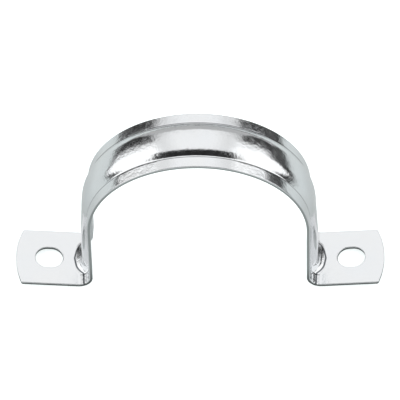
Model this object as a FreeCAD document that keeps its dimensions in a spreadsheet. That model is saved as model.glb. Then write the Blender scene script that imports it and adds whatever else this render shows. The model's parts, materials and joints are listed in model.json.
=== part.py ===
import FreeCAD, Part
import math
import os
import Sketcher
from enum import IntEnum

# An omega clamp: one strip of zinc-plated sheet steel, ribbed down its middle and bent
# into an arch over a pipe, two straight legs and two feet with a slot each.
# X runs from foot to foot, Y along the pipe and Z up from the wall behind the feet.
# The origin is on the wall, below the pipe's centre and midway across the strip.
# Lengths are in millimetres and angles in degrees.

SIZES = {
    # The pipe that the clamp holds, and where its centre lies above the wall.
    "pipe_radius": (30.15, "inside radius of the arch, for a 60.3 pipe"),
    "centre_height": (26.0, "wall to the centre of the arch, less than the radius so that it grips"),
    # The strip.
    "strip_width": (18.0, "width of the strip, along the pipe"),
    "sheet_thickness": (1.0, "thickness of the sheet"),
    # The rib, which stands out of the strip's outer side.
    "rib_base_width": (11.6, "width of the rib where it leaves the flat margins"),
    "rib_flat_width": (4.4, "width of the rib's flat crest"),
    "rib_height": (1.5, "how far the rib stands out"),
    "rib_root_radius": (0.8, "rounding between the flat margin and the rib's flank"),
    # The bends and the feet.
    "foot_bend_radius": (3.0, "inside radius of the bend between leg and foot"),
    "foot_tilt": (4.5, "rise of each foot towards its end, taken up when it is bolted down"),
    "overall_length": (103.6, "length from the end of one foot to the end of the other"),
    "foot_end_radius": (23.4, "radius of the curved end of a foot"),
    "foot_corner_radius": (0.6, "rounding of the two corners of a foot"),
    # The slots for the bolts.
    "slot_spacing": (85.1, "distance between the centres of the two slots"),
    "slot_length": (7.8, "length of a slot, across the pipe"),
    "slot_width": (6.8, "width of a slot"),
    # Stock that is cut away again.
    "trim_allowance": (2.0, "stock left past a trimmed edge, and reach of its cutter past the stock"),
}

LEFTWARD = math.pi
DOWNWARD = 1.5 * math.pi
QUARTER_TURN = math.degrees(math.pi / 2)
TOLERANCE = 1e-4


class Spot(IntEnum):
    """How a sketch numbers the points of an edge, and the two axes that it starts with."""

    START = 1
    END = 2
    CENTRE = 3
    ACROSS_AXIS = -1
    UP_AXIS = -2

    @classmethod
    def origin(cls):
        """Give the sketch's origin, as the start of its first axis."""
        return cls.ACROSS_AXIS, cls.START


doc = FreeCAD.newDocument("omega_clamp")


def fill_sheet():
    """Write every driving size to the sheet, with its name as the cell's alias."""
    sheet = doc.addObject("Spreadsheet::Sheet", "sizes")
    for row, (name, (value, meaning)) in enumerate(SIZES.items(), start=1):
        sheet.set(f"A{row}", name)
        sheet.set(f"B{row}", str(value))
        sheet.set(f"C{row}", meaning)
        sheet.setAlias(f"B{row}", name)
    doc.recompute()
    return sheet


def size(name):
    """Give the sheet's number for a named size."""
    return float(sheet.get(name))


def point(across, along):
    """Give a point in a sketch."""
    return FreeCAD.Vector(across, along, 0)


def line(first, last):
    """Give a straight edge of a sketch."""
    return Part.LineSegment(point(*first), point(*last))


def arc(centre, radius, first_angle, last_angle):
    """Give an arc that runs anticlockwise between two angles in radians."""
    circle = Part.Circle(point(*centre), FreeCAD.Vector(0, 0, 1), radius)
    return Part.ArcOfCircle(circle, first_angle, last_angle)


def on_circle(centre, radius, angle):
    """Give the place on a circle at an angle in radians."""
    return centre[0] + radius * math.cos(angle), centre[1] + radius * math.sin(angle)


def add_sketch(name, role):
    """Start a sketch on one of the body's own origin planes."""
    sketch = body.newObject("Sketcher::SketchObject", name)
    planes = [feature for feature in body.Origin.OriginFeatures if feature.Role == role]
    sketch.AttachmentSupport = [(planes[0], "")]
    sketch.MapMode = "FlatFace"
    return sketch


def relate(sketch, kind, *where):
    """Add a geometric relation between a sketch's edges and points."""
    sketch.addConstraint(Sketcher.Constraint(kind, *where))


def measure(sketch, kind, where, value, formula):
    """Add a dimension and tie it to a formula in the sheet's sizes."""
    index = sketch.addConstraint(Sketcher.Constraint(kind, *where, value))
    sketch.setExpression(f"Constraints[{index}]", formula)


def close_loop(sketch, count):
    """Join the end of each of the first edges to the start of the next, all round."""
    for edge in range(count):
        relate(sketch, "Coincident", edge, Spot.END, (edge + 1) % count, Spot.START)


def draw_rib_path():
    """Sketch the rib's cross-section as a path across the strip, in the plane of the foot.

    The plane leans with the foot about the line where the leg's outer side meets the wall.
    """
    sketch = add_sketch("rib_path", "XY_Plane")
    sketch.AttachmentOffset = FreeCAD.Placement(
        FreeCAD.Vector(0, 0, 0), FreeCAD.Rotation(FreeCAD.Vector(0, 1, 0), -size("foot_tilt"))
    )
    sketch.setExpression("AttachmentOffset.Base.x", "sizes.pipe_radius + sizes.sheet_thickness")
    sketch.setExpression("AttachmentOffset.Rotation.Angle", "-sizes.foot_tilt")
    edge_y = size("strip_width") / 2
    root_y = size("rib_base_width") / 2
    crest_y = size("rib_flat_width") / 2
    height = size("rib_height")
    root = size("rib_root_radius")
    lean = 2 * math.atan2(height, root_y - crest_y)
    shoulder = (root_y - crest_y) / math.sin(lean) - root
    flank_x, flank_y = on_circle((root, root_y), root, math.pi + lean)
    sketch.addGeometry([
        line((0, -edge_y), (0, -root_y)),
        arc((root, -root_y), root, math.pi - lean, math.pi),
        arc((height - shoulder, -crest_y), shoulder, -lean, 0),
        line((height, -crest_y), (height, crest_y)),
        arc((height - shoulder, crest_y), shoulder, 0, lean),
        arc((root, root_y), root, math.pi, math.pi + lean),
        line((0, root_y), (0, edge_y)),
    ], False)
    front, front_root, front_flank, crest, rear_flank, rear_root, rear = range(7)
    relate(sketch, "Vertical", front)
    relate(sketch, "Tangent", front, Spot.END, front_root, Spot.END)
    relate(sketch, "Tangent", front_root, Spot.START, front_flank, Spot.START)
    relate(sketch, "Tangent", front_flank, Spot.END, crest, Spot.START)
    relate(sketch, "Tangent", crest, Spot.END, rear_flank, Spot.START)
    relate(sketch, "Tangent", rear_flank, Spot.END, rear_root, Spot.END)
    relate(sketch, "Tangent", rear_root, Spot.START, rear, Spot.START)
    relate(sketch, "PointOnObject", front, Spot.START, Spot.UP_AXIS)
    relate(sketch, "Symmetric", front, Spot.START, rear, Spot.END, Spot.ACROSS_AXIS)
    relate(sketch, "Symmetric", crest, Spot.START, crest, Spot.END, Spot.ACROSS_AXIS)
    relate(sketch, "Symmetric", front, Spot.END, rear, Spot.START, Spot.ACROSS_AXIS)
    measure(sketch, "DistanceY", (front, Spot.START, rear, Spot.END), 2 * edge_y, "sizes.strip_width")
    measure(sketch, "DistanceY", (front, Spot.END, rear, Spot.START), 2 * root_y, "sizes.rib_base_width")
    measure(sketch, "DistanceY", (crest, Spot.START, crest, Spot.END), 2 * crest_y, "sizes.rib_flat_width")
    measure(sketch, "DistanceX", (front, Spot.END, crest, Spot.START), height, "sizes.rib_height")
    measure(sketch, "Radius", (front_root,), root, "sizes.rib_root_radius")
    measure(sketch, "Radius", (rear_root,), root, "sizes.rib_root_radius")
    return sketch


def draw_side_profile():
    """Sketch a leg, its bend and its foot as seen along the pipe, at the strip's front edge."""
    sketch = add_sketch("side_profile", "XZ_Plane")
    sketch.setExpression("AttachmentOffset.Base.z", "sizes.strip_width / 2")
    inner = size("pipe_radius")
    thick = size("sheet_thickness")
    bend = size("foot_bend_radius")
    tilt = math.radians(size("foot_tilt"))
    top = size("centre_height") + size("trim_allowance")
    stock_end = size("overall_length") / 2 + size("trim_allowance")
    centre = (inner + thick + bend, bend + thick)
    last_angle = DOWNWARD + tilt
    under_start = on_circle(centre, bend + thick, last_angle)
    upper_start = on_circle(centre, bend, last_angle)
    stock = (stock_end - under_start[0]) / math.cos(tilt)
    under_end = on_circle(under_start, stock, tilt)
    upper_end = on_circle(upper_start, stock, tilt)
    sketch.addGeometry([
        line((inner, top), (inner, centre[1])),
        arc(centre, bend + thick, LEFTWARD, last_angle),
        line(under_start, under_end),
        line(under_end, upper_end),
        line(upper_end, upper_start),
        arc(centre, bend, LEFTWARD, last_angle),
        line((inner + thick, centre[1]), (inner + thick, top)),
        line((inner + thick, top), (inner, top)),
    ], False)
    leg_inner, bend_under, foot_under, foot_end, foot_upper, bend_upper, leg_outer, leg_top = range(8)
    relate(sketch, "Vertical", leg_inner)
    relate(sketch, "Vertical", leg_outer)
    relate(sketch, "Horizontal", leg_top)
    relate(sketch, "Tangent", leg_inner, Spot.END, bend_under, Spot.START)
    relate(sketch, "Tangent", bend_under, Spot.END, foot_under, Spot.START)
    relate(sketch, "Coincident", foot_under, Spot.END, foot_end, Spot.START)
    relate(sketch, "Coincident", foot_end, Spot.END, foot_upper, Spot.START)
    relate(sketch, "Tangent", foot_upper, Spot.END, bend_upper, Spot.END)
    relate(sketch, "Tangent", bend_upper, Spot.START, leg_outer, Spot.START)
    relate(sketch, "Coincident", leg_outer, Spot.END, leg_top, Spot.START)
    relate(sketch, "Coincident", leg_top, Spot.END, leg_inner, Spot.START)
    relate(sketch, "Coincident", bend_under, Spot.CENTRE, bend_upper, Spot.CENTRE)
    relate(sketch, "Parallel", foot_under, foot_upper)
    relate(sketch, "Perpendicular", foot_under, foot_end)
    measure(sketch, "Angle", (foot_under,), tilt, "sizes.foot_tilt")
    measure(sketch, "Radius", (bend_upper,), bend, "sizes.foot_bend_radius")
    measure(sketch, "DistanceX", (*Spot.origin(), leg_inner, Spot.START), inner, "sizes.pipe_radius")
    measure(sketch, "DistanceX", (leg_top, Spot.END, leg_top, Spot.START), thick, "sizes.sheet_thickness")
    measure(sketch, "DistanceY", (*Spot.origin(), bend_upper, Spot.CENTRE), bend + thick,
            "sizes.foot_bend_radius + sizes.sheet_thickness")
    measure(sketch, "DistanceY", (*Spot.origin(), leg_inner, Spot.START), top,
            "sizes.centre_height + sizes.trim_allowance")
    measure(sketch, "DistanceX", (*Spot.origin(), foot_under, Spot.END), stock_end,
            "sizes.overall_length / 2 + sizes.trim_allowance")
    return sketch


def draw_leg_trim():
    """Sketch the stock above the arch's centre, where the leg ends and the arch begins."""
    sketch = add_sketch("leg_trim", "XY_Plane")
    sketch.setExpression("AttachmentOffset.Base.z", "sizes.centre_height")
    margin = size("trim_allowance")
    near = size("pipe_radius") - margin
    far = size("pipe_radius") + size("sheet_thickness") + size("rib_height") + margin
    side = size("strip_width") / 2 + margin
    sketch.addGeometry([
        line((near, -side), (far, -side)),
        line((far, -side), (far, side)),
        line((far, side), (near, side)),
        line((near, side), (near, -side)),
    ], False)
    close_loop(sketch, 4)
    front, outer, rear, inner = range(4)
    relate(sketch, "Horizontal", front)
    relate(sketch, "Symmetric", outer, Spot.START, outer, Spot.END, Spot.ACROSS_AXIS)
    relate(sketch, "Symmetric", inner, Spot.END, inner, Spot.START, Spot.ACROSS_AXIS)
    measure(sketch, "DistanceX", (*Spot.origin(), inner, Spot.END), near,
            "sizes.pipe_radius - sizes.trim_allowance")
    measure(sketch, "DistanceX", (*Spot.origin(), outer, Spot.START), far,
            "sizes.pipe_radius + sizes.sheet_thickness + sizes.rib_height + sizes.trim_allowance")
    measure(sketch, "DistanceY", (outer, Spot.START, outer, Spot.END), 2 * side,
            "sizes.strip_width + 2 * sizes.trim_allowance")
    return sketch


def draw_pipe_axis():
    """Sketch the pipe's axis as one line, as long as the strip is wide."""
    sketch = add_sketch("pipe_axis", "XY_Plane")
    sketch.setExpression("AttachmentOffset.Base.z", "sizes.centre_height")
    side = size("strip_width") / 2
    sketch.addGeometry([line((0, -side), (0, side))], False)
    axis = 0
    relate(sketch, "Symmetric", axis, Spot.START, axis, Spot.END, Spot.ACROSS_AXIS)
    relate(sketch, "PointOnObject", axis, Spot.START, Spot.UP_AXIS)
    measure(sketch, "DistanceY", (axis, Spot.START, axis, Spot.END), 2 * side, "sizes.strip_width")
    return sketch


def draw_foot_trim():
    """Sketch the stock past the foot's curved end."""
    sketch = add_sketch("foot_trim", "XY_Plane")
    margin = size("trim_allowance")
    radius = size("foot_end_radius")
    centre = (size("overall_length") / 2 - radius, 0)
    side = size("strip_width") / 2 + margin
    spread = math.asin(side / radius)
    far = size("overall_length") / 2 + size("rib_height") + 2 * margin
    lower = on_circle(centre, radius, -spread)
    upper = on_circle(centre, radius, spread)
    sketch.addGeometry([
        arc(centre, radius, -spread, spread),
        line(upper, (far, side)),
        line((far, side), (far, -side)),
        line((far, -side), lower),
    ], False)
    close_loop(sketch, 4)
    end_arc, rear, outer, front = range(4)
    relate(sketch, "Horizontal", rear)
    relate(sketch, "Horizontal", front)
    relate(sketch, "Symmetric", outer, Spot.START, outer, Spot.END, Spot.ACROSS_AXIS)
    relate(sketch, "PointOnObject", end_arc, Spot.CENTRE, Spot.ACROSS_AXIS)
    measure(sketch, "Radius", (end_arc,), radius, "sizes.foot_end_radius")
    measure(sketch, "DistanceX", (*Spot.origin(), end_arc, Spot.CENTRE), centre[0],
            "sizes.overall_length / 2 - sizes.foot_end_radius")
    measure(sketch, "DistanceX", (*Spot.origin(), outer, Spot.START), far,
            "sizes.overall_length / 2 + sizes.rib_height + 2 * sizes.trim_allowance")
    measure(sketch, "DistanceY", (outer, Spot.END, outer, Spot.START), 2 * side,
            "sizes.strip_width + 2 * sizes.trim_allowance")
    return sketch


def draw_slot():
    """Sketch the slot for a bolt, with round ends."""
    sketch = add_sketch("slot", "XY_Plane")
    middle = size("slot_spacing") / 2
    radius = size("slot_width") / 2
    half = (size("slot_length") - size("slot_width")) / 2
    quarter = math.pi / 2
    sketch.addGeometry([
        arc((middle + half, 0), radius, -quarter, quarter),
        line((middle + half, radius), (middle - half, radius)),
        arc((middle - half, 0), radius, quarter, DOWNWARD),
        line((middle - half, -radius), (middle + half, -radius)),
    ], False)
    outer, rear, inner, front = range(4)
    relate(sketch, "Tangent", outer, Spot.END, rear, Spot.START)
    relate(sketch, "Tangent", rear, Spot.END, inner, Spot.START)
    relate(sketch, "Tangent", inner, Spot.END, front, Spot.START)
    relate(sketch, "Tangent", front, Spot.END, outer, Spot.START)
    relate(sketch, "Horizontal", rear)
    relate(sketch, "PointOnObject", outer, Spot.CENTRE, Spot.ACROSS_AXIS)
    relate(sketch, "PointOnObject", inner, Spot.CENTRE, Spot.ACROSS_AXIS)
    measure(sketch, "Radius", (outer,), radius, "sizes.slot_width / 2")
    measure(sketch, "DistanceX", (inner, Spot.CENTRE, outer, Spot.CENTRE), 2 * half,
            "sizes.slot_length - sizes.slot_width")
    measure(sketch, "DistanceX", (*Spot.origin(), inner, Spot.CENTRE), middle - half,
            "(sizes.slot_spacing - sizes.slot_length + sizes.slot_width) / 2")
    return sketch


def press_leg_and_foot():
    """Carry the side profile across the strip along the rib's path, always facing the same way.

    The leg takes the rib's section, the foot stays flat, and the rib dies out in the bend
    between them with a rounded front that bulges over the foot.
    """
    feature = body.newObject("PartDesign::AdditivePipe", "leg_and_foot")
    feature.Profile = draw_side_profile()
    feature.Spine = (draw_rib_path(), [])
    feature.Mode = "Fixed"
    doc.recompute()
    return feature


def cut_upwards(name, sketch, through_all=True):
    """Cut a sketch's outline out of the stock above its plane."""
    feature = body.newObject("PartDesign::Pocket", name)
    feature.Profile = sketch
    feature.Reversed = True
    if through_all:
        feature.Type = "ThroughAll"
    else:
        feature.setExpression("Length", "2 * sizes.trim_allowance")
    before = feature.BaseFeature.Shape.Volume
    doc.recompute()
    if feature.Shape.Volume >= before:
        raise RuntimeError(f"{name} cut nothing")
    return feature


def leg_top_face(shape):
    """Find the leg's level face at the height of the arch's centre."""
    height = size("centre_height")
    for index, face in enumerate(shape.Faces, start=1):
        box = face.BoundBox
        if abs(box.ZMin - height) < TOLERANCE and abs(box.ZMax - height) < TOLERANCE:
            return f"Face{index}"
    raise RuntimeError("the leg has no level top")


def bend_arch(leg):
    """Turn the leg's top face about the pipe's axis, up to the middle of the arch."""
    feature = body.newObject("PartDesign::Revolution", "half_arch")
    feature.Profile = (leg, [leg_top_face(leg.Shape)])
    feature.ReferenceAxis = (draw_pipe_axis(), ["Edge1"])
    feature.Angle = QUARTER_TURN
    feature.Reversed = True
    doc.recompute()
    return feature


def corner_edges(shape):
    """Find the two upright edges where the foot's curved end meets the strip's sides."""
    side = size("strip_width") / 2
    slot_middle = size("slot_spacing") / 2
    names = []
    for index, edge in enumerate(shape.Edges, start=1):
        box = edge.BoundBox
        on_side = abs(abs(box.YMin) - side) < TOLERANCE and box.YLength < TOLERANCE
        upright = box.ZLength > box.XLength
        if on_side and upright and box.XMin > slot_middle:
            names.append(f"Edge{index}")
    return names


def round_corners(foot):
    """Round the two corners of the foot."""
    feature = body.newObject("PartDesign::Fillet", "foot_corners")
    feature.Base = (foot, corner_edges(foot.Shape))
    feature.setExpression("Radius", "sizes.foot_corner_radius")
    doc.recompute()
    return feature


def mirror_half():
    """Mirror the half clamp about the plane through the pipe's axis."""
    feature = body.newObject("PartDesign::Mirrored", "both_halves")
    feature.TransformMode = "Whole shape"
    planes = [plane for plane in body.Origin.OriginFeatures if plane.Role == "YZ_Plane"]
    feature.MirrorPlane = (planes[0], [""])
    body.Tip = feature
    doc.recompute()
    return feature


def check_document():
    """Stop if any object failed or the clamp isn't one sound solid."""
    for item in doc.Objects:
        if "Invalid" in item.State or "Error" in item.State:
            raise RuntimeError(f"{item.Name} failed: {item.State}")
    if body.Shape.isNull() or not body.Shape.isValid():
        raise RuntimeError("the clamp's shape is not sound")
    if len(body.Shape.Solids) != 1:
        raise RuntimeError("the clamp is not one solid")


sheet = fill_sheet()
body = doc.addObject("PartDesign::Body", "clamp_strap")
body.Label = "clamp_strap"
body.Placement = FreeCAD.Placement()
press_leg_and_foot()
leg = cut_upwards("trimmed_leg", draw_leg_trim(), through_all=False)
bend_arch(leg)
cut_upwards("foot_outline", draw_foot_trim())
foot = cut_upwards("bolt_slot", draw_slot())
round_corners(foot)
mirror_half()
check_document()
os.makedirs("parts", exist_ok=True)
body.Shape.exportStep(f"parts/{body.Label}.step")
print(f"{body.Label}: volume {body.Shape.Volume:.1f} mm3")
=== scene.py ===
"""The look of an omega clamp: a strap of ribbed, zinc-plated strip on a pale studio floor.

A flat blank with its slots and sheared edges is meshed first. A Geometry Nodes tree then presses
the rib and bends the blank over the pipe, as the press does, and the plating is a procedural
material. Lengths are in metres, and X runs from foot to foot, Y along the pipe and Z up.
"""

import json
import logging
import math
from collections.abc import Iterable
from dataclasses import dataclass
from enum import Enum

import bmesh
import bpy
from mathutils import Matrix, Vector


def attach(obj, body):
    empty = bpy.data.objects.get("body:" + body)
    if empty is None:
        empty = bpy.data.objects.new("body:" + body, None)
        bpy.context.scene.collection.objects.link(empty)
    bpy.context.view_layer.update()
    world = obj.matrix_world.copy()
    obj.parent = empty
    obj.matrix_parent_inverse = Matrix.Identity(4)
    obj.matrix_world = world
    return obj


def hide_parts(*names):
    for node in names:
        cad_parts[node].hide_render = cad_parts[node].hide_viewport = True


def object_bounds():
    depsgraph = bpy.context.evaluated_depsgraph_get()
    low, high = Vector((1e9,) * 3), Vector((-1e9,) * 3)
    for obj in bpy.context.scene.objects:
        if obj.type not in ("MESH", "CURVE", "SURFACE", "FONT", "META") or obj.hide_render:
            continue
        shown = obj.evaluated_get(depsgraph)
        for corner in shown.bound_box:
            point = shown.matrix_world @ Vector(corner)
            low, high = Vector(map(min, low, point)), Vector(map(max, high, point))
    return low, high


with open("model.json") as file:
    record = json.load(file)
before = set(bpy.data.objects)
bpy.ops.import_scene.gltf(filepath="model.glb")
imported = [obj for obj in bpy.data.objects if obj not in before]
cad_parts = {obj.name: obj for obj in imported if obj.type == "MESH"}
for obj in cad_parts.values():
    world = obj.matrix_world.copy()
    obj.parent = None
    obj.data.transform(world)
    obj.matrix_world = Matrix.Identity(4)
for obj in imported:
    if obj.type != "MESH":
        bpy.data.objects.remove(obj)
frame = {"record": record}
CAD_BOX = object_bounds()

MM = 0.001
CAD_NODE = "clamp_strap"
STRIP_MAP = "strip"
LOG = logging.getLogger("omega_clamp")

# The hump s * s * (1 - s) peaks at 4 / 27, and this scale brings its peak to one.
HUMP_SCALE = 27.0 / 4.0

# Limits in degrees that leave an angle of a light panel free.
ALL_ROUND = (-99.0, 99.0)

Colour = tuple[float, float, float, float]


class Zone(Enum):
    """The surfaces of the strap that have a finish of their own, by material index."""

    PLATED = 0
    SHEARED = 1


class Ray(Enum):
    """The kinds of light ray that the stage treats apart, by their Light Path outputs."""

    CAMERA = "Is Camera Ray"
    GLOSSY = "Is Glossy Ray"


def mount(name: str) -> dict:
    """Finds one of the record's mounts.

    Args:
        name: The mount's name.

    Returns:
        The mount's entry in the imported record.
    """
    return next(entry for entry in frame["record"]["mounts"] if entry["name"] == name)


@dataclass(frozen=True)
class StrapSizes:
    """Sizes of the pressed strap: first the solid's, and then those of its finer forms."""

    pipe_radius: float = mount("pipe_seat")["dims"]["r_mm"] * MM
    centre_height: float = mount("pipe_seat")["pos_m"][2]
    slot_spacing: float = mount("foot_slots")["dims"]["spacing_x_mm"] * MM
    slot_length: float = mount("foot_slots")["dims"]["slot_length_mm"] * MM
    slot_width: float = 2 * mount("foot_slots")["dims"]["hole_r_mm"] * MM
    overall_length: float = CAD_BOX[1].x - CAD_BOX[0].x
    strip_width: float = CAD_BOX[1].y - CAD_BOX[0].y
    sheet_thickness: float = 1.0 * MM
    rib_base_width: float = 11.6 * MM
    rib_flat_width: float = 4.4 * MM
    rib_height: float = 1.5 * MM
    rib_root_radius: float = 0.8 * MM
    foot_bend_radius: float = 3.0 * MM
    foot_tilt: float = math.radians(4.5)
    foot_end_radius: float = 23.4 * MM
    foot_corner_radius: float = 0.6 * MM
    # Forms of the real sheet that the solid leaves out.
    crest_camber: float = 0.13 * MM
    margin_droop: float = math.radians(2.2)
    rib_growth: float = 0.42
    bend_tightening: float = 0.28
    rib_fade_length: float = 3.4 * MM
    # Where the painted shade line crosses each foot bend, as an angle back from the foot's flat.
    shade_line_angle: float = math.radians(13)

    @property
    def outer_bend_radius(self) -> float:
        """Radius of the foot bend on the side of the pipe."""
        return self.foot_bend_radius + self.sheet_thickness

    @property
    def bend_angle(self) -> float:
        """Angle that the strip turns through from leg to foot."""
        return math.pi / 2 + self.foot_tilt

    @property
    def leg_start(self) -> float:
        """Distance along the strip from the crown to the top of a leg."""
        return self.pipe_radius * math.pi / 2

    @property
    def bend_start(self) -> float:
        """Distance along the strip from the crown to the top of a foot bend."""
        return self.leg_start + self.centre_height - self.outer_bend_radius

    @property
    def foot_start(self) -> float:
        """Distance along the strip from the crown to the flat of a foot."""
        return self.bend_start + self.outer_bend_radius * self.bend_angle

    @property
    def shade_line_place(self) -> float:
        """Distance along the strip from the crown to the painted shade line across a foot bend."""
        return self.foot_start - self.outer_bend_radius * self.shade_line_angle

    @property
    def rib_lean(self) -> float:
        """Steepest slope of the rib's flank, in radians."""
        run = (self.rib_base_width - self.rib_flat_width) / 2
        return 2 * math.atan2(self.rib_height, run)

    def along_strip(self, x: float) -> float:
        """Turns a distance from the middle plane, on a foot, into one along the strip.

        Args:
            x: Distance of a point of the foot's underside from the middle plane.

        Returns:
            The point's distance from the crown along the blank.
        """
        flat_x = self.pipe_radius + self.outer_bend_radius * (1 + math.sin(self.foot_tilt))
        return self.foot_start + (x - flat_x) / math.cos(self.foot_tilt)


@dataclass(frozen=True)
class ShearedEdge:
    """The section that shearing leaves on a sheet's edge, from its outer to its inner face."""

    rollover: float = 0.14 * MM
    support: float = 0.08 * MM
    burnished_share: float = 0.32
    break_inset: float = 0.035 * MM
    burr: float = 0.03 * MM
    roll_steps: int = 3

    def profile(self, thickness: float) -> list[tuple[float, float]]:
        """Lists the edge's points.

        Args:
            thickness: Thickness of the sheet.

        Returns:
            Pairs of the inset from the outline and the height above the inner face.
        """
        points = [(self.rollover + self.support, thickness)]
        for step in range(self.roll_steps + 1):
            turn = step / self.roll_steps * math.pi / 2
            inset = self.rollover * (1 - math.sin(turn))
            points.append((inset, thickness - self.rollover * (1 - math.cos(turn))))
        burnished = thickness * (1 - self.burnished_share)
        points += [(0.0, burnished), (self.break_inset, burnished - self.break_inset)]
        points += [(self.break_inset, self.burr), (self.break_inset + self.burr, 0.0)]
        return points + [(self.break_inset + self.burr + self.support, 0.0)]

    @property
    def plated_rows(self) -> int:
        """Rows of faces, from the outer face, that shine like the sheet: roll-over and burnish."""
        return self.roll_steps + 1


def spread(stops: Iterable[tuple[float, int]]) -> list[float]:
    """Spaces values evenly between stops.

    Args:
        stops: Pairs of a value and the number of steps that lead up to it. The first has none.

    Returns:
        The values, from the first stop to the last.
    """
    (value, _), *rest = stops
    values = [value]
    for target, steps in rest:
        values += [value + (target - value) * step / steps for step in range(1, steps + 1)]
        value = target
    return values


@dataclass(frozen=True)
class StrapBlank:
    """The flat blank of the strap, with its slots and sheared edges.

    In the blank, X is the distance from the crown along the strip, Y runs across the strip and
    Z is the height above the face that will lie on the pipe.
    """

    sizes: StrapSizes
    edge: ShearedEdge
    arch_steps: int = 100
    leg_steps: int = 14
    bend_steps: int = 26
    fade_steps: int = 10
    margin_steps: int = 6
    root_steps: int = 6
    shoulder_steps: int = 12
    crest_steps: int = 3
    side_steps: int = 18
    corner_steps: int = 5
    slot_rings: int = 7
    sharp_angle: float = math.radians(40)
    weld_distance: float = 0.001 * MM

    def columns(self) -> list[float]:
        """Spaces the lengthwise rows of points across the strip, closest where the rib curves.

        Returns:
            The rows' places across the strip, from its front to its rear.
        """
        root = self.sizes.rib_root_radius * math.sin(self.sizes.rib_lean)
        half = spread([
            (0.0, 0),
            (self.sizes.rib_flat_width / 2, self.crest_steps),
            (self.sizes.rib_base_width / 2 - root, self.shoulder_steps),
            (self.sizes.rib_base_width / 2, self.root_steps),
            (self.sizes.strip_width / 2, self.margin_steps),
        ])
        return [-y for y in reversed(half[1:])] + half

    def stations(self) -> list[float]:
        """Spaces the crosswise rows of points.

        Returns:
            The rows' places along the strip, from the crown to where a foot is fully flat.
        """
        foot = self.sizes.foot_start
        return spread([
            (0.0, 0),
            (self.sizes.leg_start, self.arch_steps),
            (self.sizes.bend_start, self.leg_steps),
            (foot, self.bend_steps),
            (foot + self.sizes.rib_fade_length, self.fade_steps),
        ])

    def foot_end(self, columns: list[float]) -> list[tuple[float, float]]:
        """Traces the rest of a foot's outline, from its front side round its end to its rear side.

        Args:
            columns: The places across the strip that the blank's other rows use.

        Returns:
            Points past the last station, in order, without those of the station itself.
        """
        sizes = self.sizes
        side = sizes.strip_width / 2
        tip = sizes.along_strip(sizes.overall_length / 2)
        centre = tip - sizes.foot_end_radius
        corner = sizes.foot_corner_radius
        inner = side - corner
        corner_x = centre + math.sqrt((sizes.foot_end_radius - corner) ** 2 - inner**2)
        lean = math.asin(inner / (sizes.foot_end_radius - corner))
        start = self.stations()[-1]
        run = spread([(start, 0), (corner_x, self.side_steps)])[1:]
        front = [(x, -side) for x in run]
        for step in range(1, self.corner_steps + 1):
            turn = (math.pi / 2 - lean) * step / self.corner_steps
            front.append((corner_x + corner * math.sin(turn), -inner - corner * math.cos(turn)))
        end = []
        for y in columns:
            if abs(y) < abs(front[-1][1]) - self.edge.rollover:
                end.append((centre + math.sqrt(sizes.foot_end_radius**2 - y**2), y))
        rear = [(x, -y) for x, y in reversed(front)]
        return front + end + rear

    def slot_point(self, toward: Vector) -> Vector:
        """Finds where a ray from the slot's centre meets its outline.

        Args:
            toward: Direction of the ray in the blank's plane.

        Returns:
            The point, counted from the slot's centre.
        """
        radius = self.sizes.slot_width / 2
        half = (self.sizes.slot_length - self.sizes.slot_width) / 2
        ray = toward.normalized()
        if abs(ray.y) > 0 and abs(ray.x / ray.y) * radius <= half:
            return ray * (radius / abs(ray.y))
        along = abs(ray.x) * half
        return ray * (along + math.sqrt(along**2 - half**2 + radius**2))

    def half_sheet(self, mesh: bmesh.types.BMesh) -> None:
        """Adds the flat sheet of the half blank with positive X, out to its outline.

        Args:
            mesh: The mesh that takes the faces.
        """
        columns = self.columns()
        rows = [[mesh.verts.new((x, y, 0)) for y in columns] for x in self.stations()]
        for lower, upper in zip(rows, rows[1:]):
            for index in range(len(columns) - 1):
                mesh.faces.new((lower[index], upper[index], upper[index + 1], lower[index + 1]))
        outline = [mesh.verts.new((x, y, 0)) for x, y in self.foot_end(columns)]
        loop = outline + rows[-1][::-1]
        middle = Vector((self.sizes.along_strip(self.sizes.slot_spacing / 2), 0, 0))
        slot = [middle + self.slot_point(vertex.co - middle) for vertex in loop]
        rings = [loop]
        for ring in range(1, self.slot_rings + 1):
            share = ring / self.slot_rings
            rings.append([mesh.verts.new(v.co.lerp(p, share)) for v, p in zip(loop, slot)])
        for outer, inner in zip(rings, rings[1:]):
            for index in range(len(loop)):
                after = (index + 1) % len(loop)
                mesh.faces.new((outer[index], outer[after], inner[after], inner[index]))

    @staticmethod
    def outward(vertex: bmesh.types.BMVert) -> Vector:
        """Gives the direction out of the sheet, in its plane, at a point of its outline.

        Args:
            vertex: A vertex on the sheet's boundary.

        Returns:
            The direction, as long as it has to be to move both edges there out by one.
        """
        normals = []
        for edge in (edge for edge in vertex.link_edges if edge.is_boundary):
            face = edge.link_faces[0]
            along = (edge.verts[1].co - edge.verts[0].co).normalized()
            out = along.cross(Vector((0, 0, 1)))
            if out.dot(face.calc_center_median() - edge.verts[0].co) > 0:
                out.negate()
            normals.append(out)
        total = normals[0] + normals[1]
        return total * (2 / total.length_squared)

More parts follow.
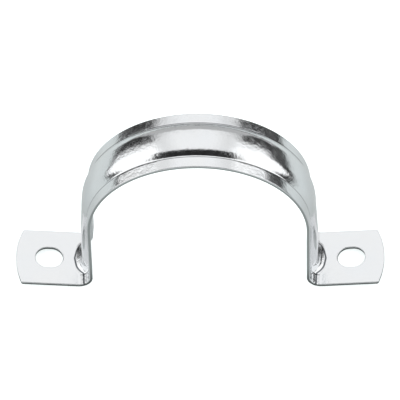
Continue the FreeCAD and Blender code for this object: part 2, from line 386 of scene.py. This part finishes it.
    def build(self) -> bpy.types.Object:
        """Makes the closed blank: both faces, and the sheared edge round every outline.

        Returns:
            A mesh object whose vertices are the blank's own coordinates.
        """
        sheet = bmesh.new()
        self.half_sheet(sheet)
        half = sheet.verts[:] + sheet.edges[:] + sheet.faces[:]
        copy = bmesh.ops.duplicate(sheet, geom=half)["geom"]
        mirrored = [item for item in copy if isinstance(item, bmesh.types.BMVert)]
        for vertex in mirrored:
            vertex.co.x = -vertex.co.x
        bmesh.ops.reverse_faces(sheet, faces=[f for f in copy if isinstance(f, bmesh.types.BMFace)])
        bmesh.ops.remove_doubles(sheet, verts=sheet.verts[:], dist=self.weld_distance)
        bmesh.ops.recalc_face_normals(sheet, faces=sheet.faces[:])
        sheet.verts.index_update()
        blank = self.thicken(sheet)
        sheet.free()
        data = bpy.data.meshes.new("blank")
        blank.to_mesh(data)
        blank.free()
        self.label(data)
        return bpy.data.objects.new("pressed_strap", data)

    @staticmethod
    def label(data: bpy.types.Mesh) -> None:
        """Stores what the finishes need: each face's zone, and its place on the strip.

        Args:
            data: The blank's mesh.
        """
        for zone in Zone:
            flags = data.attributes.new(zone.name.lower(), "BOOLEAN", "FACE")
            for face in data.polygons:
                flags.data[face.index].value = face.material_index == zone.value
        strip = data.uv_layers.new(name=STRIP_MAP)
        for corner in data.loops:
            strip.uv[corner.index].vector = data.vertices[corner.vertex_index].co.xy

    def thicken(self, sheet: bmesh.types.BMesh) -> bmesh.types.BMesh:
        """Turns the flat sheet into a closed plate with sheared edges.

        Args:
            sheet: The flat sheet, out to its outline.

        Returns:
            The plate's mesh.
        """
        plate = bmesh.new()
        profile = self.edge.profile(self.sizes.sheet_thickness)
        outward = {v.index: self.outward(v) for v in sheet.verts if v.is_boundary}
        chains: dict[int, list[bmesh.types.BMVert]] = {}
        outer: dict[int, bmesh.types.BMVert] = {}
        inner: dict[int, bmesh.types.BMVert] = {}
        for vertex in sheet.verts:
            x, y, _ = vertex.co
            if vertex.index not in outward:
                outer[vertex.index] = plate.verts.new((x, y, self.sizes.sheet_thickness))
                inner[vertex.index] = plate.verts.new((x, y, 0))
                continue
            out = outward[vertex.index]
            chain = [
                plate.verts.new((x - out.x * inset, y - out.y * inset, z)) for inset, z in profile
            ]
            chains[vertex.index] = chain
            outer[vertex.index] = chain[0]
            inner[vertex.index] = chain[-1]
        for face in sheet.faces:
            corners = [vertex.index for vertex in face.verts]
            if face.normal.z < 0:
                corners.reverse()
            plate.faces.new([outer[index] for index in corners])
            plate.faces.new([inner[index] for index in reversed(corners)])
        for edge in (edge for edge in sheet.edges if edge.is_boundary):
            first, second = (chains[vertex.index] for vertex in edge.verts)
            for row in range(len(profile) - 1):
                face = plate.faces.new((first[row], first[row + 1], second[row + 1], second[row]))
                sheared = self.edge.plated_rows < row < len(profile) - 2
                face.material_index = (Zone.SHEARED if sheared else Zone.PLATED).value
        bmesh.ops.recalc_face_normals(plate, faces=plate.faces[:])
        for face in plate.faces:
            face.smooth = True
        for edge in plate.edges:
            edge.smooth = edge.calc_face_angle() < self.sharp_angle
        return plate


class Term:
    """A number that a node tree works out, so that a formula reads as ordinary arithmetic."""

    def __init__(self, tree: bpy.types.NodeTree, socket: bpy.types.NodeSocket) -> None:
        """Wraps a node's output.

        Args:
            tree: The tree that holds the node.
            socket: The output that gives the number.
        """
        self.tree = tree
        self.socket = socket

    def join(self, operation: str, *others: "Term | float") -> "Term":
        """Adds a Math node that takes this term first.

        Args:
            operation: The Math node's operation.
            others: The node's other inputs.

        Returns:
            The node's result.
        """
        node = self.tree.nodes.new("ShaderNodeMath")
        node.operation = operation
        for slot, value in zip(node.inputs, (self, *others)):
            if isinstance(value, Term):
                self.tree.links.new(value.socket, slot)
            else:
                slot.default_value = value
        return Term(self.tree, node.outputs[0])

    def __add__(self, other: "Term | float") -> "Term":
        """Adds."""
        return self.join("ADD", other)

    def __sub__(self, other: "Term | float") -> "Term":
        """Subtracts."""
        return self.join("SUBTRACT", other)

    def __mul__(self, other: "Term | float") -> "Term":
        """Multiplies."""
        return self.join("MULTIPLY", other)

    def __truediv__(self, other: "Term | float") -> "Term":
        """Divides."""
        return self.join("DIVIDE", other)

    def __neg__(self) -> "Term":
        """Changes the sign."""
        return self.join("MULTIPLY", -1.0)

    def sin(self) -> "Term":
        """Gives the sine."""
        return self.join("SINE")

    def cos(self) -> "Term":
        """Gives the cosine."""
        return self.join("COSINE")

    def sqrt(self) -> "Term":
        """Gives the square root."""
        return self.join("SQRT")

    def magnitude(self) -> "Term":
        """Gives the size without the sign."""
        return self.join("ABSOLUTE")

    def between(self, low: "Term | float", high: "Term | float") -> "Term":
        """Holds the term between two limits.

        Args:
            low: The lowest value.
            high: The highest value.

        Returns:
            The limited term.
        """
        return self.join("MAXIMUM", low).join("MINIMUM", high)


class PressTree:
    """Geometry Nodes that press the rib into a blank and bend it over the pipe."""

    def __init__(self, sizes: StrapSizes, finishes: dict[Zone, bpy.types.Material]) -> None:
        """Builds the tree.

        Args:
            sizes: The strap's sizes, which become the tree's named inputs.
            finishes: The material of each zone of the sheet.
        """
        self.inputs: dict[str, float] = {
            "Pipe Radius": sizes.pipe_radius,
            "Centre Height": sizes.centre_height,
            "Sheet Thickness": sizes.sheet_thickness,
            "Foot Bend Radius": sizes.foot_bend_radius,
            "Foot Tilt": sizes.foot_tilt,
            "Rib Height": sizes.rib_height,
            "Rib Base Width": sizes.rib_base_width,
            "Rib Flat Width": sizes.rib_flat_width,
            "Rib Root Radius": sizes.rib_root_radius,
            "Rib Growth": sizes.rib_growth,
            "Bend Tightening": sizes.bend_tightening,
            "Crest Camber": sizes.crest_camber,
            "Margin Droop": sizes.margin_droop,
            "Rib Fade Length": sizes.rib_fade_length,
        }
        self.tree = bpy.data.node_groups.new("press_and_bend", "GeometryNodeTree")
        self.identifiers: dict[str, str] = {}
        interface = self.tree.interface
        interface.new_socket("Geometry", in_out="INPUT", socket_type="NodeSocketGeometry")
        for name in self.inputs:
            socket = interface.new_socket(name, in_out="INPUT", socket_type="NodeSocketFloat")
            self.identifiers[name] = socket.identifier
        interface.new_socket("Geometry", in_out="OUTPUT", socket_type="NodeSocketGeometry")
        self.given = self.tree.nodes.new("NodeGroupInput")
        position = self.tree.nodes.new("GeometryNodeInputPosition")
        split = self.tree.nodes.new("ShaderNodeSeparateXYZ")
        self.tree.links.new(position.outputs[0], split.inputs[0])
        self.along, self.across, self.above = (Term(self.tree, out) for out in split.outputs)
        self.wire(finishes)

    def number(self, name: str) -> Term:
        """Gives one of the tree's named inputs as a term.

        Args:
            name: The input's name.

        Returns:
            The input.
        """
        return Term(self.tree, self.given.outputs[name])

    def section(self) -> Term:
        """Works out how far the sheet stands out at each point across the strip.

        The section is a slightly cambered crest, a round shoulder and a root arc that meets a
        margin, which droops a little towards its edge.

        Returns:
            The height of the sheet above the rib's roots.
        """
        height = self.number("Rib Height")
        root = self.number("Rib Root Radius")
        crest = self.number("Rib Flat Width") / 2.0
        base = self.number("Rib Base Width") / 2.0
        run = base - crest
        lean = height.join("ARCTAN2", run) * 2.0
        shoulder = run / lean.sin() - root
        side = self.across.magnitude()
        past_crest = (side - crest).between(0.0, shoulder * lean.sin())
        before_base = (base - side).between(0.0, root * lean.sin())
        drop = shoulder - (shoulder * shoulder - past_crest * past_crest).sqrt()
        rise = root - (root * root - before_base * before_base).sqrt()
        share = (side / base).between(0.0, 1.0)
        camber = share * share * (-share + 1.0) * self.number("Crest Camber") * HUMP_SCALE
        droop = (side - base).join("MAXIMUM", 0.0) * self.number("Margin Droop").join("TANGENT")
        return height - drop - root * (-lean.cos() + 1.0) + rise - camber - droop

    def place(self) -> tuple[Term, Term]:
        """Works out where each point of the blank lies once the strip is pressed and bent.

        The rib grows towards the feet, and its foot bend is tighter than that of the margins, so
        that it dies out in a rounded front on the flat foot.

        Returns:
            The point's distance from the middle plane, and its height above the wall.
        """
        radius = self.number("Pipe Radius")
        centre = self.number("Centre Height")
        tilt = self.number("Foot Tilt")
        bend = self.number("Foot Bend Radius") + self.number("Sheet Thickness")
        distance = self.along.magnitude()
        leg_start = radius * (math.pi / 2)
        leg_length = centre - bend
        bend_start = leg_start + leg_length
        bend_length = bend * (tilt + math.pi / 2)
        arch = distance.between(0.0, leg_start) / radius
        leg = (distance - leg_start).between(0.0, leg_length) / leg_length
        turn = (distance - bend_start).between(0.0, bend_length) / bend
        foot = (distance - bend_start - bend_length).join("MAXIMUM", 0.0)
        growth = leg * (-leg + 2.0) * self.number("Rib Growth") + 1.0
        pressed = self.section() * growth * tilt.cos()
        tight = bend - pressed * self.number("Bend Tightening")
        gained = pressed + (tight - bend) * (tilt.sin() + 1.0)
        beyond = pressed + tight - bend - bend * tilt.sin()
        bend_height = bend * (-tilt.cos() + 1.0) + (tight + tilt.sin() * beyond) / tilt.cos()
        fade = (foot / self.number("Rib Fade Length")).between(0.0, 1.0)
        faded = fade * fade * (-(fade * 2.0) + 3.0)
        flat = foot - gained / tilt.cos() * faded
        facing = turn - arch + math.pi / 2
        x = (radius + pressed) * arch.sin() + tight * (-turn.cos() + 1.0)
        x = x + flat * tilt.cos() + self.above * facing.cos()
        z = centre + (radius + pressed) * arch.cos() - (centre - bend_height) * leg
        z = z - tight * turn.sin() + flat * tilt.sin() + self.above * facing.sin()
        return x, z

    def wire(self, finishes: dict[Zone, bpy.types.Material]) -> None:
        """Joins the tree up: the points move, and each zone takes its finish.

        Args:
            finishes: The material of each zone of the sheet.
        """
        nodes = self.tree.nodes
        link = self.tree.links.new
        x, z = self.place()
        where = nodes.new("ShaderNodeCombineXYZ")
        for term, slot in zip((x * self.along.join("SIGN"), self.across, z), where.inputs):
            link(term.socket, slot)
        move = nodes.new("GeometryNodeSetPosition")
        link(self.given.outputs["Geometry"], move.inputs["Geometry"])
        link(where.outputs[0], move.inputs["Position"])
        realize = nodes.new("GeometryNodeRealizeInstances")
        link(move.outputs[0], realize.inputs[0])
        last = realize.outputs[0]
        for zone, material in finishes.items():
            flag = nodes.new("GeometryNodeInputNamedAttribute")
            flag.data_type = "BOOLEAN"
            flag.inputs["Name"].default_value = zone.name.lower()
            finish = nodes.new("GeometryNodeSetMaterial")
            finish.inputs["Material"].default_value = material
            link(last, finish.inputs["Geometry"])
            link(flag.outputs[0], finish.inputs["Selection"])
            last = finish.outputs[0]
        result = nodes.new("NodeGroupOutput")
        link(last, result.inputs["Geometry"])

    def apply(self, piece: bpy.types.Object) -> None:
        """Runs the tree on an object and leaves it as a plain mesh.

        Args:
            piece: The flat blank.
        """
        press = piece.modifiers.new("press_and_bend", "NODES")
        press.node_group = self.tree
        for name, value in self.inputs.items():
            press[self.identifiers[name]] = value
        graph = bpy.context.evaluated_depsgraph_get()
        shaped = bpy.data.meshes.new_from_object(
            piece.evaluated_get(graph), preserve_all_data_layers=True, depsgraph=graph
        )
        piece.modifiers.remove(press)
        piece.data = shaped


def new_material(name: str) -> tuple[bpy.types.Material, bpy.types.ShaderNodeBsdfPrincipled]:
    """Starts a material.

    Args:
        name: The material's name.

    Returns:
        The material and its surface shader.
    """
    material = bpy.data.materials.new(name)
    material.use_nodes = True
    return material, material.node_tree.nodes["Principled BSDF"]


def raise_relief(surface: bpy.types.ShaderNodeBsdfPrincipled, relief: Term) -> None:
    """Lets light fall on a surface as if it had a relief.

    Args:
        surface: The material's surface shader.
        relief: The relief's height in metres.
    """
    bump = relief.tree.nodes.new("ShaderNodeBump")
    bump.inputs["Distance"].default_value = 1.0
    relief.tree.links.new(relief.socket, bump.inputs["Height"])
    relief.tree.links.new(bump.outputs[0], surface.inputs["Normal"])


def mix_colours(
    share: Term, first: Colour | bpy.types.NodeSocket, second: Colour
) -> bpy.types.NodeSocket:
    """Mixes two colours in a material.

    Args:
        share: None for the first colour and one for the second.
        first: The first colour, or a socket that gives it.
        second: The second colour.

    Returns:
        The mixed colour.
    """
    node = share.tree.nodes.new("ShaderNodeMix")
    node.data_type = "RGBA"
    share.tree.links.new(share.socket, node.inputs["Factor"])
    if isinstance(first, bpy.types.NodeSocket):
        share.tree.links.new(first, node.inputs["A"])
    else:
        node.inputs["A"].default_value = first
    node.inputs["B"].default_value = second
    return node.outputs["Result"]


@dataclass(frozen=True)
class Grain:
    """Fine noise in the plating: a relief in metres or, with a depth of one, a share."""

    pitch: tuple[float, float, float]
    depth: float
    detail: float = 2.0

    def height(self, tree: bpy.types.NodeTree, place: bpy.types.NodeSocket) -> Term:
        """Adds the noise to a material.

        Args:
            tree: The material's nodes.
            place: The coordinates that the noise follows.

        Returns:
            The relief's height, or the share.
        """
        stretch = tree.nodes.new("ShaderNodeMapping")
        stretch.inputs["Scale"].default_value = tuple(1 / pitch for pitch in self.pitch)
        tree.links.new(place, stretch.inputs["Vector"])
        noise = tree.nodes.new("ShaderNodeTexNoise")
        noise.inputs["Scale"].default_value = 1.0
        noise.inputs["Detail"].default_value = self.detail
        tree.links.new(stretch.outputs[0], noise.inputs["Vector"])
        return Term(tree, noise.outputs[0]) * self.depth


@dataclass(frozen=True)
class ZincPlate:
    """Bright zinc plating on rolled sheet: fine grain, faint rolling lines and a slight tint.

    A painted shade darkens a thin line along the roots of the rib, and a painted shade line
    crosses each foot bend, reaching furthest out round the end of the rib.
    """

    rib_root: float
    shade_line_place: float
    name: str = "zinc_plated_steel"
    shade_line_lean: float = 0.26
    shade_line_width: float = 0.28 * MM
    shade_line_blur: float = 0.25 * MM
    root_shade_width: float = 0.06 * MM
    root_shade_blur: float = 0.1 * MM
    root_shade_depth: float = 0.85
    painted_shade_tone: Colour = (0.13, 0.14, 0.15, 1.0)
    cool: Colour = (0.79, 0.815, 0.84, 1.0)
    warm: Colour = (0.82, 0.825, 0.825, 1.0)
    tint_size: float = 9.0 * MM
    smooth: float = 0.11
    dull: float = 0.2
    gloss_size: float = 1.6 * MM
    gloss_start: float = 0.3
    gloss_span: float = 0.4
    speckle: Grain = Grain((0.8 * MM, 0.8 * MM, 0.8 * MM), 0.034 * MM, 3.0)
    ripple: Grain = Grain((4.0 * MM, 4.0 * MM, 4.0 * MM), 0.03 * MM, 1.0)
    lines: Grain = Grain((30.0 * MM, 0.22 * MM, 1.0), 0.003 * MM)

    def build(self) -> bpy.types.Material:
        """Makes the material.

        Returns:
            The plating.
        """
        material, surface = new_material(self.name)
        tree = material.node_tree
        surface.inputs["Metallic"].default_value = 1.0
        place = tree.nodes.new("ShaderNodeTexCoord").outputs["Object"]
        strip = tree.nodes.new("ShaderNodeUVMap")
        strip.uv_map = STRIP_MAP
        relief = self.speckle.height(tree, place) + self.ripple.height(tree, place)
        raise_relief(surface, relief + self.lines.height(tree, strip.outputs[0]))
        gloss = Grain((self.gloss_size,) * 3, 1.0).height(tree, place) - self.gloss_start
        dulling = (self.dull - self.smooth) / self.gloss_span
        rough = gloss.between(0.0, self.gloss_span) * dulling + self.smooth
        tree.links.new(rough.socket, surface.inputs["Roughness"])
        tint_share = Grain((self.tint_size,) * 3, 1.0).height(tree, place)
        tint = mix_colours(tint_share, self.cool, self.warm)
        # Painted shade: dark lines along the rib's roots and across each foot bend.
        colour = mix_colours(self.painted_shade_lines(tree, strip.outputs[0]), tint, self.painted_shade_tone)
        tree.links.new(colour, surface.inputs["Base Color"])
        return material

    def painted_shade_lines(self, tree: bpy.types.NodeTree, strip: bpy.types.NodeSocket) -> Term:
        """Works out where the painted shade lines lie.

        Args:
            tree: The material's nodes.
            strip: The place along and across the strip.

        Returns:
            One on the painted shade lines and none elsewhere.
        """
        split = tree.nodes.new("ShaderNodeSeparateXYZ")
        tree.links.new(strip, split.inputs[0])
        along, across = (Term(tree, out).magnitude() for out in split.outputs[:2])
        inward = across.join("MINIMUM", self.rib_root) * self.shade_line_lean
        bend = (along + inward - self.shade_line_place).magnitude() - self.shade_line_width
        root = (across - self.rib_root).magnitude() - self.root_shade_width
        bend_shade_mask = (-bend / self.shade_line_blur + 1.0).between(0.0, 1.0)
        before = ((-along + self.shade_line_place) / self.shade_line_blur).between(0.0, 1.0)
        root_shade_mask = (-root / self.root_shade_blur + 1.0).between(0.0, 1.0) * before * self.root_shade_depth
        return bend_shade_mask.join("MAXIMUM", root_shade_mask)


@dataclass(frozen=True)
class ShearedSteel:
    """The thinly plated, torn face of a sheared edge, with painted shade that darkens it near the
    floor.
    """

    name: str = "sheared_edge"
    painted_shade_colour: Colour = (0.17, 0.18, 0.18, 1.0)
    high_colour: Colour = (0.43, 0.455, 0.455, 1.0)
    full_shade_height: float = 2.0 * MM
    shade_end_height: float = 9.0 * MM
    roughness: float = 0.4
    tears: Grain = Grain((0.16 * MM, 0.16 * MM, 1.2 * MM), 0.02 * MM)

    def build(self) -> bpy.types.Material:
        """Makes the material.

        Returns:
            The edge's finish.
        """
        material, surface = new_material(self.name)
        tree = material.node_tree
        surface.inputs["Metallic"].default_value = 1.0
        surface.inputs["Roughness"].default_value = self.roughness
        place = tree.nodes.new("ShaderNodeTexCoord").outputs["Object"]
        split = tree.nodes.new("ShaderNodeSeparateXYZ")
        tree.links.new(place, split.inputs[0])
        height = Term(tree, split.outputs["Z"])
        # Painted shade: the edge is darkest near the floor and fades to its own colour higher up.
        shade_fade = (height - self.full_shade_height) / (self.shade_end_height - self.full_shade_height)
        colour = mix_colours(shade_fade.between(0.0, 1.0), self.painted_shade_colour, self.high_colour)
        tree.links.new(colour, surface.inputs["Base Color"])
        raise_relief(surface, self.tears.height(tree, place))
        return material


@dataclass(frozen=True)
class ClampStrap:
    """The clamp: one strip of plated sheet steel, ribbed, bent over the pipe and slotted."""

    sizes: StrapSizes = StrapSizes()
    edge: ShearedEdge = ShearedEdge()
    sheared: ShearedSteel = ShearedSteel()

    def build(self) -> bpy.types.Object:
        """Meshes the blank, presses and bends it, and puts it in the solid's place.

        Returns:
            The finished strap.
        """
        piece = StrapBlank(self.sizes, self.edge).build()
        bpy.context.scene.collection.objects.link(piece)
        plating = ZincPlate(self.sizes.rib_base_width / 2, self.sizes.shade_line_place)
        finishes = {Zone.PLATED: plating.build(), Zone.SHEARED: self.sheared.build()}
        PressTree(self.sizes, finishes).apply(piece)
        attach(piece, "root")
        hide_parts(CAD_NODE)
        LOG.info("%s: %d faces", piece.name, len(piece.data.polygons))
        return piece


@dataclass(frozen=True)
class Panel:
    """A patch of the light tent, between limits of three angles in degrees.

    The side angle counts from the middle plane, and the depth angle towards the rear. The rise
    counts from the rear horizon, over the top, to the front.
    """

    side: tuple[float, float]
    rise: tuple[float, float]
    brightness: float
    depth: tuple[float, float] = ALL_ROUND
    blur: float = 4.0

    def cover(self, side: Term, rise: Term, depth: Term) -> Term:
        """Works out how far a direction lies inside the panel.

        Args:
            side: The direction's side angle.
            rise: The direction's rise angle.
            depth: The direction's depth angle.

        Returns:
            One inside the panel, none outside, and a soft step between.
        """
        limited = ((side, self.side), (rise, self.rise), (depth, self.depth))
        first, *others = (
            self.step(angle, edge, sense)
            for angle, limits in limited
            for edge, sense in zip(limits, (1.0, -1.0))
        )
        return math.prod(others, start=first)

    def step(self, angle: Term, edge: float, sense: float) -> Term:
        """Makes a soft step at one edge.

        Args:
            angle: The angle that the edge limits.
            edge: The edge's angle.
            sense: Plus one where the panel lies above the edge, or minus one where it lies below.

        Returns:
            None on one side of the edge, and one on the panel's side.
        """
        return ((angle - edge) * (sense / self.blur) + 0.5).between(0.0, 1.0)


@dataclass(frozen=True)
class Studio:
    """A pale floor in a tent of soft panels, with a white background.

    The clamp mirrors the tent, so the panels set the bright and dark patches of the plating. Each
    panel lies over those before it, and its brightness takes the place of theirs.
    """

    floor_size: float = 6.0
    floor_colour: tuple[float, float, float] = (0.835, 0.88, 0.875)
    floor_fill: float = 0.86
    floor_sheen: float = 0.32
    paper_shade: float = 0.74
    shade_depth: float = 0.55
    shade_radius: float = 0.055
    shade_blur: float = 0.07
    paper_centre: tuple[float, float, float] = (-0.25, 0.2, 0.0)
    paper_radius: float = 0.5
    paper_blur: float = 0.25
    room: float = 0.03
    panels: tuple[Panel, ...] = (
        # The tent's cloth, and the duller cloth behind and above the clamp's middle.
        Panel(ALL_ROUND, (-20.0, 210.0), 1.30),
        Panel((-35.0, 31.0), (-20.0, 41.0), 0.52),
        Panel((-35.0, 31.0), (41.0, 101.0), 0.88),
        Panel((-22.0, 18.0), (42.0, 101.0), 1.06, blur=9.0),
        # The front of the tent, with the dark opening that the camera looks through.
        Panel((-38.0, 33.0), (101.0, 210.0), 1.4),
        Panel((-38.0, 33.0), (101.0, 151.0), 0.02),
        # Dark boards at the rear corners.
        Panel((-57.0, -33.5), (0.0, 46.0), 0.03, depth=(34.0, 99.0)),
        Panel((31.0, 57.0), (3.0, 46.0), 0.04, depth=(35.0, 99.0)),
        Panel((-55.0, -49.0), (0.0, 19.0), 0.06),
        Panel((49.0, 99.0), (0.0, 25.0), 0.05),
        # Dark hems along the bottom of the tent, in front and at both rear sides.
        Panel(ALL_ROUND, (164.0, 210.0), 0.06),
        Panel((-99.0, -48.0), (-20.0, 4.0), 0.08),
        Panel((44.0, 99.0), (-20.0, 13.0), 0.08),
    )

    def floor(self) -> bpy.types.Object:
        """Makes the floor, a sheet of paper that looks white and keeps a soft shadow.

        Returns:
            The floor.
        """
        half = self.floor_size / 2
        data = bpy.data.meshes.new("floor")
        corners = [(-half, -half, 0), (half, -half, 0), (half, half, 0), (-half, half, 0)]
        data.from_pydata(corners, [], [(0, 1, 2, 3)])
        material, surface = new_material("floor")
        tree = material.node_tree
        surface.inputs["Roughness"].default_value = 1.0
        surface.inputs["Specular IOR Level"].default_value = 0.0
        surface.inputs["Emission Color"].default_value = (*self.floor_colour, 1.0)
        path = tree.nodes.new("ShaderNodeLightPath").outputs
        camera, glossy = (Term(tree, path[ray.value]) for ray in (Ray.CAMERA, Ray.GLOSSY))
        paper = self.disc(tree, self.paper_centre, self.paper_radius, self.paper_blur)
        # Seen in the clamp, the floor glows with a painted sheen that a painted shadow dims round
        # the clamp.
        under = self.disc(tree, (0.0, 0.0, 0.0), self.shade_radius, self.shade_blur)
        sheen = paper * (-(under * self.shade_depth) + 1.0) * self.floor_sheen
        glow = camera * self.floor_fill + glossy * sheen
        tree.links.new(glow.socket, surface.inputs["Emission Strength"])
        shade = (paper * self.paper_shade).join("MAXIMUM", camera)
        colour = tree.nodes.new("ShaderNodeCombineColor")
        for share, slot in zip(self.floor_colour, colour.inputs):
            tree.links.new((shade * share).socket, slot)
        tree.links.new(colour.outputs[0], surface.inputs["Base Color"])
        data.materials.append(material)
        floor = bpy.data.objects.new("floor", data)
        bpy.context.scene.collection.objects.link(floor)
        return floor

    @staticmethod
    def disc(
        tree: bpy.types.NodeTree, centre: tuple[float, float, float], radius: float, blur: float
    ) -> Term:
        """Marks a soft-edged disc on the floor.

        Args:
            tree: The floor material's nodes.
            centre: The disc's centre.
            radius: Radius at which the edge starts to fade.
            blur: Width of the faded edge.

        Returns:
            One inside the disc and none outside.
        """
        place = tree.nodes.new("ShaderNodeTexCoord")
        length = tree.nodes.new("ShaderNodeVectorMath")
        length.operation = "DISTANCE"
        tree.links.new(place.outputs["Object"], length.inputs[0])
        length.inputs[1].default_value = centre
        outside = (Term(tree, length.outputs["Value"]) - radius) / blur
        return -outside.between(0.0, 1.0) + 1.0

    def tent(self) -> bpy.types.World:
        """Makes the world, which the camera sees white and the clamp sees as a tent of panels.

        Returns:
            The world.
        """
        world = bpy.data.worlds.new("studio")
        world.use_nodes = True
        tree = world.node_tree
        background = tree.nodes["Background"]
        split = tree.nodes.new("ShaderNodeSeparateXYZ")
        coordinates = tree.nodes.new("ShaderNodeTexCoord")
        tree.links.new(coordinates.outputs["Generated"], split.inputs[0])
        x, y, z = (Term(tree, out) for out in split.outputs)
        side = x.join("ARCSINE").join("DEGREES")
        rise = z.join("ARCTAN2", y).join("DEGREES")
        depth = y.join("ARCSINE").join("DEGREES")
        room = tree.nodes.new("ShaderNodeValue").outputs[0]
        room.default_value = self.room
        light = Term(tree, room)
        for panel in self.panels:
            share = panel.cover(side, rise, depth)
            light = light + (-light + panel.brightness) * share
        camera = Term(tree, tree.nodes.new("ShaderNodeLightPath").outputs[Ray.CAMERA.value])
        tree.links.new(light.join("MAXIMUM", camera).socket, background.inputs["Color"])
        background.inputs["Strength"].default_value = 1.0
        bpy.context.scene.world = world
        return world

    def build(self) -> None:
        """Builds the floor and the tent."""
        self.floor()
        self.tent()


@dataclass(frozen=True)
class ProductCamera:
    """The camera that the photograph was taken with, as far as its perspective tells."""

    target: Vector = Vector((0.0004, 0.0, 0.02893))
    elevation: float = 54.1
    yaw: float = -1.96
    roll: float = -1.65
    distance: float = 1.7
    lens: float = 551.4
    sensor: float = 36.0
    clip_reach: float = 10.0

    def build(self) -> bpy.types.Object:
        """Makes the camera and gives it to the scene.

        Returns:
            The camera object.
        """
        data = bpy.data.cameras.new("camera")
        data.lens = self.lens
        data.sensor_width = self.sensor
        data.clip_start = self.distance / self.clip_reach
        data.clip_end = self.distance * self.clip_reach
        elevation, yaw, roll = (
            math.radians(angle) for angle in (self.elevation, self.yaw, self.roll)
        )
        flat = math.cos(elevation)
        forward = Vector((flat * math.sin(yaw), flat * math.cos(yaw), -math.sin(elevation)))
        right = Vector((math.cos(yaw), -math.sin(yaw), 0.0))
        up = right.cross(forward)
        turned = right * math.cos(roll) + up * math.sin(roll)
        raised = up * math.cos(roll) - right * math.sin(roll)
        camera = bpy.data.objects.new("camera", data)
        camera.matrix_world = Matrix((turned, raised, -forward)).transposed().to_4x4()
        camera.location = self.target - forward * self.distance
        bpy.context.scene.collection.objects.link(camera)
        bpy.context.scene.camera = camera
        return camera


def main() -> None:
    """Builds the clamp, the studio and the camera."""
    logging.basicConfig(level=logging.INFO)
    bpy.context.scene.view_settings.view_transform = "Standard"
    ClampStrap().build()
    Studio().build()
    ProductCamera().build()


if __name__ == "__main__":
    main()
